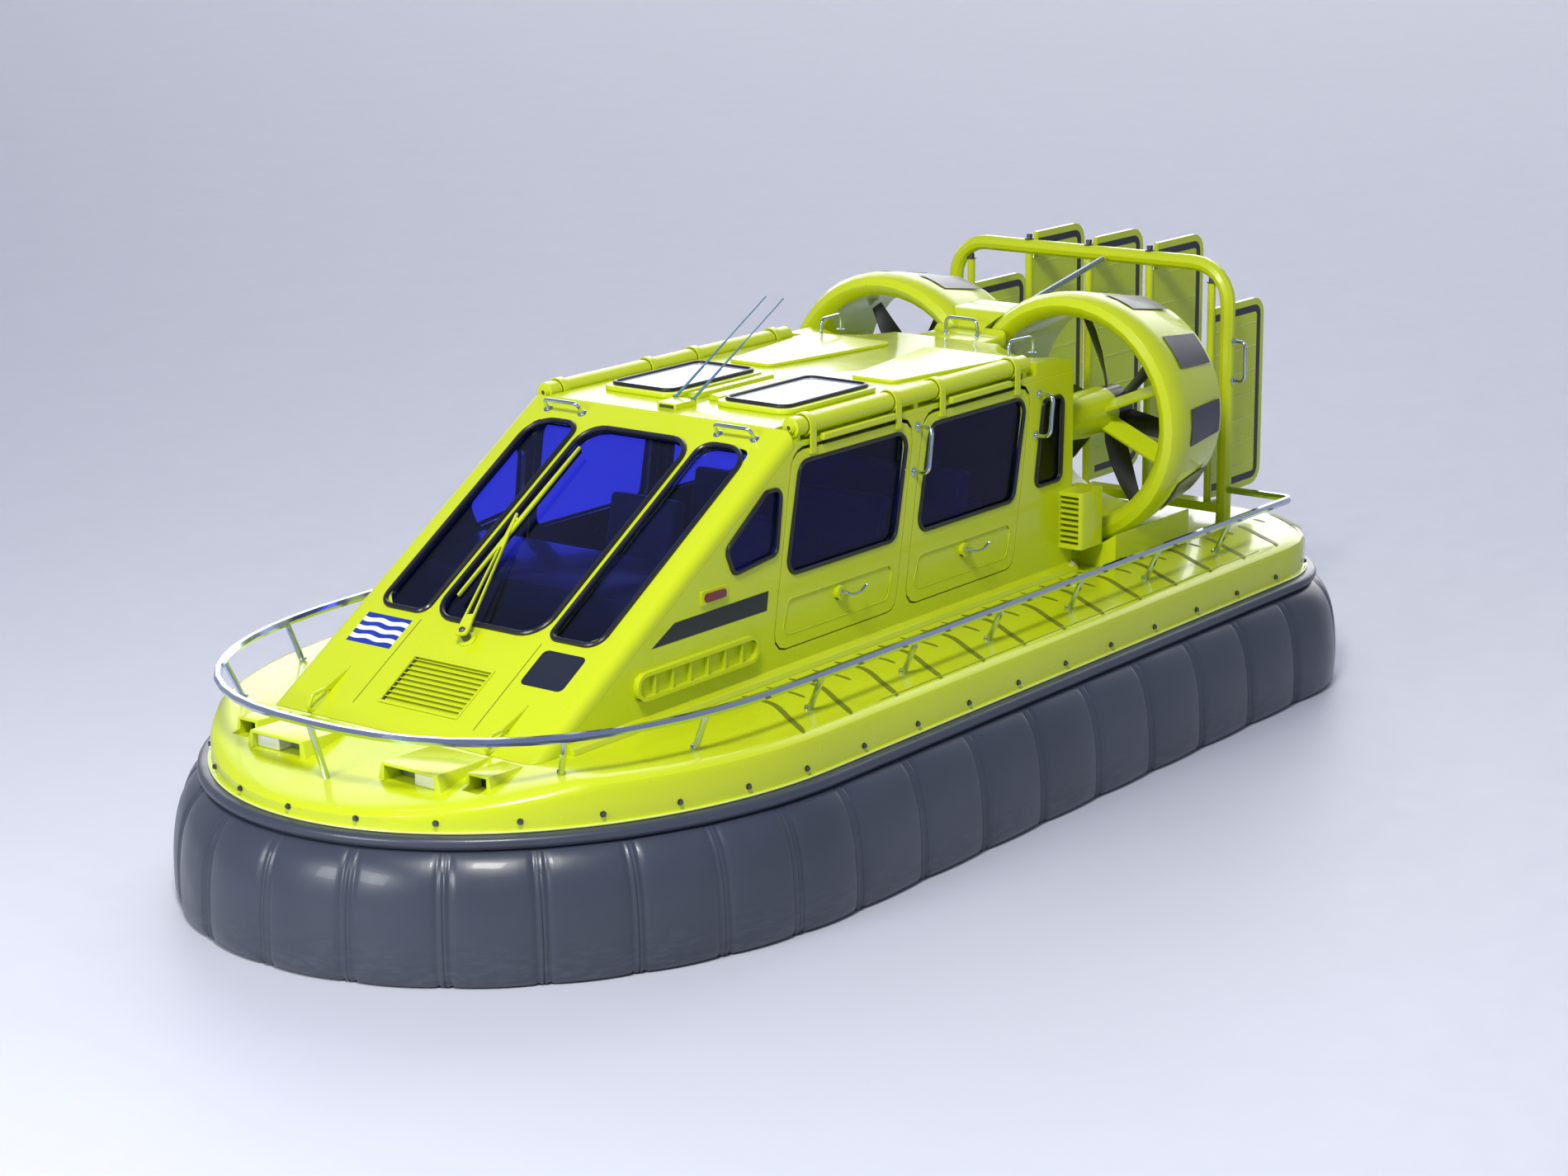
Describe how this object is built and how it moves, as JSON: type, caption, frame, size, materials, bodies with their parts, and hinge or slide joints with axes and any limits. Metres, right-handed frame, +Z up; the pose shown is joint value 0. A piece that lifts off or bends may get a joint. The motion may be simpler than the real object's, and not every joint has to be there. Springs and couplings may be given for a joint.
{
  "type": "passenger hovercraft",
  "caption": "Light passenger hovercraft: segmented skirt, closed cabin with gull-wing doors, ducted propellers side by side, upright rudders in an arched frame.",
  "frame": {"origin": "on the ground under the middle of the craft's bounding box, where the inflated skirt rests", "axes": "+X to the bow, +Y to port, +Z up"},
  "size_m": [8.3784, 3.9618, 2.765],
  "materials": {
    "gel_coat": "gloss lime-yellow gel coat on glass-fibre mouldings",
    "skirt_fabric": "satin blue-grey rubberised cloth with sewn seams",
    "tinted_glass": "dark blue tinted safety glass",
    "polished_steel": "polished stainless tube",
    "dark_composite": "dark carbon composite, satin",
    "seat_vinyl": "dark grey marine vinyl",
    "engine_metal": "painted casting"
  },
  "bodies": {
    "craft": {"skirt_fingers": "skirt_fabric", "skirt_bag": "skirt_fabric", "deck_moulding": "gel_coat", "hull_bottom": "gel_coat", "cabin_floor": "dark_composite", "nose_panel": "gel_coat", "windscreen_centre": "tinted_glass", "windscreen_port": "tinted_glass", "windscreen_starboard": "tinted_glass", "side_wall_port": "gel_coat", "side_wall_starboard": "gel_coat", "rear_window_port": "tinted_glass", "rear_window_starboard": "tinted_glass", "quarter_window_port": "tinted_glass", "quarter_window_starboard": "tinted_glass", "roof_panel": "gel_coat", "rear_bulkhead": "gel_coat", "hinge_tube_port": "gel_coat", "hinge_tube_starboard": "gel_coat", "seat_driver": "seat_vinyl", "seat_passenger": "seat_vinyl", "bench_middle": "seat_vinyl", "bench_rear": "seat_vinyl", "dash_console": "dark_composite", "engine_block": "engine_metal", "duct_port": "gel_coat", "duct_starboard": "gel_coat", "centre_cowl": "gel_coat", "duct_plinth": "gel_coat", "rudder_frame": "gel_coat", "handrail_bow": "polished_steel", "handrail_fore_port": "polished_steel", "handrail_fore_starboard": "polished_steel", "handrail_mid_port": "polished_steel", "handrail_mid_starboard": "polished_steel", "handrail_aft_port": "polished_steel", "handrail_aft_starboard": "polished_steel"},
    "hatch_port": {"roof_hatch_port": "tinted_glass"},
    "hatch_starboard": {"roof_hatch_starboard": "tinted_glass"},
    "front_door_port": {"door_front_port": "gel_coat", "door_window_front_port": "tinted_glass"},
    "front_door_starboard": {"door_front_starboard": "gel_coat", "door_window_front_starboard": "tinted_glass"},
    "rear_door_port": {"door_rear_port": "gel_coat", "door_window_rear_port": "tinted_glass"},
    "rear_door_starboard": {"door_rear_starboard": "gel_coat", "door_window_rear_starboard": "tinted_glass"},
    "prop_port": {"propeller_port": "dark_composite"},
    "prop_starboard": {"propeller_starboard": "dark_composite"},
    "rudder_1": {"rudder_port_outer": "gel_coat"},
    "rudder_2": {"rudder_port_inner": "gel_coat"},
    "rudder_3": {"rudder_centre": "gel_coat"},
    "rudder_4": {"rudder_starboard_inner": "gel_coat"},
    "rudder_5": {"rudder_starboard_outer": "gel_coat"}
  },
  "joints": [
    {"name": "front_door_port_hinge", "type": "hinge", "parent": "craft", "child": "front_door_port", "pos_m": [0.43, 0.9, 2.34], "axis": [1, 0, 0], "range_deg": [0, 80]},
    {"name": "front_door_starboard_hinge", "type": "hinge", "parent": "craft", "child": "front_door_starboard", "pos_m": [0.43, -0.9, 2.34], "axis": [-1, 0, 0], "range_deg": [0, 80]},
    {"name": "rear_door_port_hinge", "type": "hinge", "parent": "craft", "child": "rear_door_port", "pos_m": [-0.8, 0.9, 2.34], "axis": [1, 0, 0], "range_deg": [0, 80]},
    {"name": "rear_door_starboard_hinge", "type": "hinge", "parent": "craft", "child": "rear_door_starboard", "pos_m": [-0.8, -0.9, 2.34], "axis": [-1, 0, 0], "range_deg": [0, 80]},
    {"name": "hatch_port_hinge", "type": "hinge", "parent": "craft", "child": "hatch_port", "pos_m": [0.2625, 0.15, 2.3403], "axis": [1, 0, 0], "range_deg": [0, 75]},
    {"name": "hatch_starboard_hinge", "type": "hinge", "parent": "craft", "child": "hatch_starboard", "pos_m": [0.2625, -0.15, 2.3403], "axis": [-1, 0, 0], "range_deg": [0, 75]},
    {"name": "prop_port_spin", "type": "hinge", "parent": "craft", "child": "prop_port", "pos_m": [-2.64, 0.714, 1.847], "axis": [1, 0, 0], "continuous": true},
    {"name": "prop_starboard_spin", "type": "hinge", "parent": "craft", "child": "prop_starboard", "pos_m": [-2.64, -0.714, 1.847], "axis": [1, 0, 0], "continuous": true},
    {"name": "rudder_1_shaft", "type": "hinge", "parent": "craft", "child": "rudder_1", "pos_m": [-3.492, 0.948, 1.1], "axis": [0, 0, 1], "range_deg": [-30, 30]},
    {"name": "rudder_2_shaft", "type": "hinge", "parent": "craft", "child": "rudder_2", "pos_m": [-3.492, 0.474, 1.1], "axis": [0, 0, 1], "range_deg": [-30, 30]},
    {"name": "rudder_3_shaft", "type": "hinge", "parent": "craft", "child": "rudder_3", "pos_m": [-3.492, 0, 1.1], "axis": [0, 0, 1], "range_deg": [-30, 30]},
    {"name": "rudder_4_shaft", "type": "hinge", "parent": "craft", "child": "rudder_4", "pos_m": [-3.492, -0.474, 1.1], "axis": [0, 0, 1], "range_deg": [-30, 30]},
    {"name": "rudder_5_shaft", "type": "hinge", "parent": "craft", "child": "rudder_5", "pos_m": [-3.492, -0.948, 1.1], "axis": [0, 0, 1], "range_deg": [-30, 30]}
  ],
  "couplings": [
    {"joint": "rudder_1_shaft", "follows": "rudder_3_shaft", "ratio": 1},
    {"joint": "rudder_2_shaft", "follows": "rudder_3_shaft", "ratio": 1},
    {"joint": "rudder_4_shaft", "follows": "rudder_3_shaft", "ratio": 1},
    {"joint": "rudder_5_shaft", "follows": "rudder_3_shaft", "ratio": 1}
  ]
}
